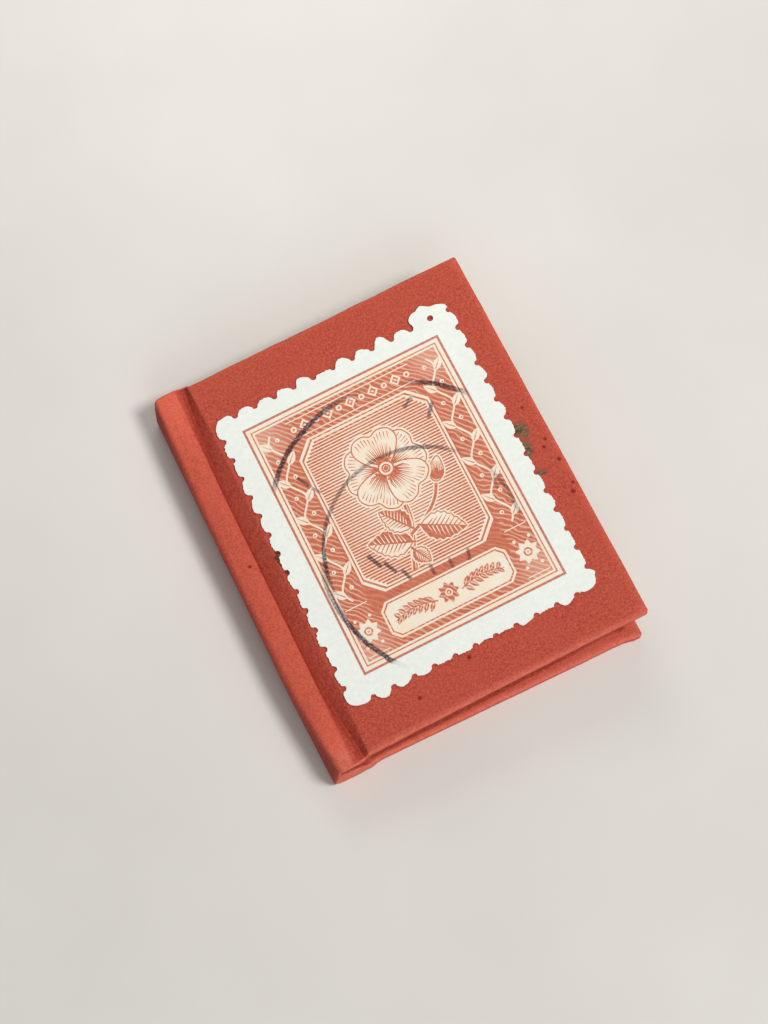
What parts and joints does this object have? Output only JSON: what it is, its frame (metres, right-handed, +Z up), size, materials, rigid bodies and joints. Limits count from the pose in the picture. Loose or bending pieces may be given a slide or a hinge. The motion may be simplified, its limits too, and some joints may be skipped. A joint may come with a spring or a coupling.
{
  "type": "stamp album",
  "caption": "Miniature case-bound stamp album with red paper covers, a grooved spine joint, card leaves that fan with the covers, and a perforated stamp glued to the front.",
  "frame": {"origin": "middle of the shut album's footprint, on the surface it lies on", "axes": "+X from the spine to the fore-edge, +Y from tail to head, +Z up out of the front cover"},
  "size_m": [0.0252, 0.0308, 0.0055],
  "materials": {
    "red_paper": "matte",
    "grey_card": "matte",
    "end_paper": "matte",
    "leaf_paper": "matte",
    "stamp_paper": "matte",
    "lining_paper": "matte",
    "dried_glue": "satin"
  },
  "bodies": {
    "back_cover": {"back_board": "grey_card", "back_cover_paper": "red_paper", "back_joint_strip": "red_paper", "back_pastedown": "end_paper"},
    "spine": {"spine_board": "grey_card", "spine_cover_paper": "red_paper", "spine_lining": "lining_paper", "spine_glue": "dried_glue"},
    "front_cover": {"front_board": "grey_card", "front_cover_paper": "red_paper", "front_joint_strip": "red_paper", "front_pastedown": "end_paper", "cover_stamp": "stamp_paper"},
    "front_flyleaf": {"front_flyleaf": "end_paper"},
    "leaf_1": {"leaf_1": "leaf_paper"},
    "leaf_2": {"leaf_2": "leaf_paper"},
    "leaf_3": {"leaf_3": "leaf_paper"},
    "leaf_4": {"leaf_4": "leaf_paper"},
    "leaf_5": {"leaf_5": "leaf_paper"},
    "leaf_6": {"leaf_6": "leaf_paper"},
    "leaf_7": {"leaf_7": "leaf_paper"},
    "leaf_8": {"leaf_8": "leaf_paper"},
    "back_flyleaf": {"back_flyleaf": "end_paper"}
  },
  "joints": [
    {"name": "spine_hinge", "type": "hinge", "parent": "back_cover", "child": "spine", "pos_m": [-0.01235, 0, 0.00025], "axis": [0, -1, 0], "range_deg": [0, 90]},
    {"name": "front_hinge", "type": "hinge", "parent": "spine", "child": "front_cover", "pos_m": [-0.01235, 0, 0.00305], "axis": [0, -1, 0], "range_deg": [-5, 85]},
    {"name": "front_flyleaf_turn", "type": "hinge", "parent": "spine", "child": "front_flyleaf", "pos_m": [-0.0112, 0, 0.00195], "axis": [0, -1, 0], "range_deg": [-4.61, 78.21]},
    {"name": "leaf_1_turn", "type": "hinge", "parent": "spine", "child": "leaf_1", "pos_m": [-0.0112, 0, 0.00195], "axis": [0, -1, 0], "range_deg": [-3.81, 64.61]},
    {"name": "leaf_2_turn", "type": "hinge", "parent": "spine", "child": "leaf_2", "pos_m": [-0.0112, 0, 0.00195], "axis": [0, -1, 0], "range_deg": [-3.01, 51.01]},
    {"name": "leaf_3_turn", "type": "hinge", "parent": "spine", "child": "leaf_3", "pos_m": [-0.0112, 0, 0.00195], "axis": [0, -1, 0], "range_deg": [-2.21, 37.41]},
    {"name": "leaf_4_turn", "type": "hinge", "parent": "spine", "child": "leaf_4", "pos_m": [-0.0112, 0, 0.00195], "axis": [0, -1, 0], "range_deg": [-1.41, 23.81]},
    {"name": "leaf_5_turn", "type": "hinge", "parent": "spine", "child": "leaf_5", "pos_m": [-0.0112, 0, 0.00135], "axis": [0, -1, 0], "range_deg": [-25.21, 0]},
    {"name": "leaf_6_turn", "type": "hinge", "parent": "spine", "child": "leaf_6", "pos_m": [-0.0112, 0, 0.00135], "axis": [0, -1, 0], "range_deg": [-39.61, 0]},
    {"name": "leaf_7_turn", "type": "hinge", "parent": "spine", "child": "leaf_7", "pos_m": [-0.0112, 0, 0.00135], "axis": [0, -1, 0], "range_deg": [-54.01, 0]},
    {"name": "leaf_8_turn", "type": "hinge", "parent": "spine", "child": "leaf_8", "pos_m": [-0.0112, 0, 0.00135], "axis": [0, -1, 0], "range_deg": [-68.41, 0]},
    {"name": "back_flyleaf_turn", "type": "hinge", "parent": "spine", "child": "back_flyleaf", "pos_m": [-0.0112, 0, 0.00135], "axis": [0, -1, 0], "range_deg": [-82.81, 0]}
  ],
  "couplings": [
    {"joint": "front_flyleaf_turn", "follows": "front_hinge", "ratio": 0.92},
    {"joint": "leaf_1_turn", "follows": "front_hinge", "ratio": 0.76},
    {"joint": "leaf_2_turn", "follows": "front_hinge", "ratio": 0.6},
    {"joint": "leaf_3_turn", "follows": "front_hinge", "ratio": 0.44},
    {"joint": "leaf_4_turn", "follows": "front_hinge", "ratio": 0.28},
    {"joint": "leaf_5_turn", "follows": "spine_hinge", "ratio": -0.28},
    {"joint": "leaf_6_turn", "follows": "spine_hinge", "ratio": -0.44},
    {"joint": "leaf_7_turn", "follows": "spine_hinge", "ratio": -0.6},
    {"joint": "leaf_8_turn", "follows": "spine_hinge", "ratio": -0.76},
    {"joint": "back_flyleaf_turn", "follows": "spine_hinge", "ratio": -0.92}
  ]
}
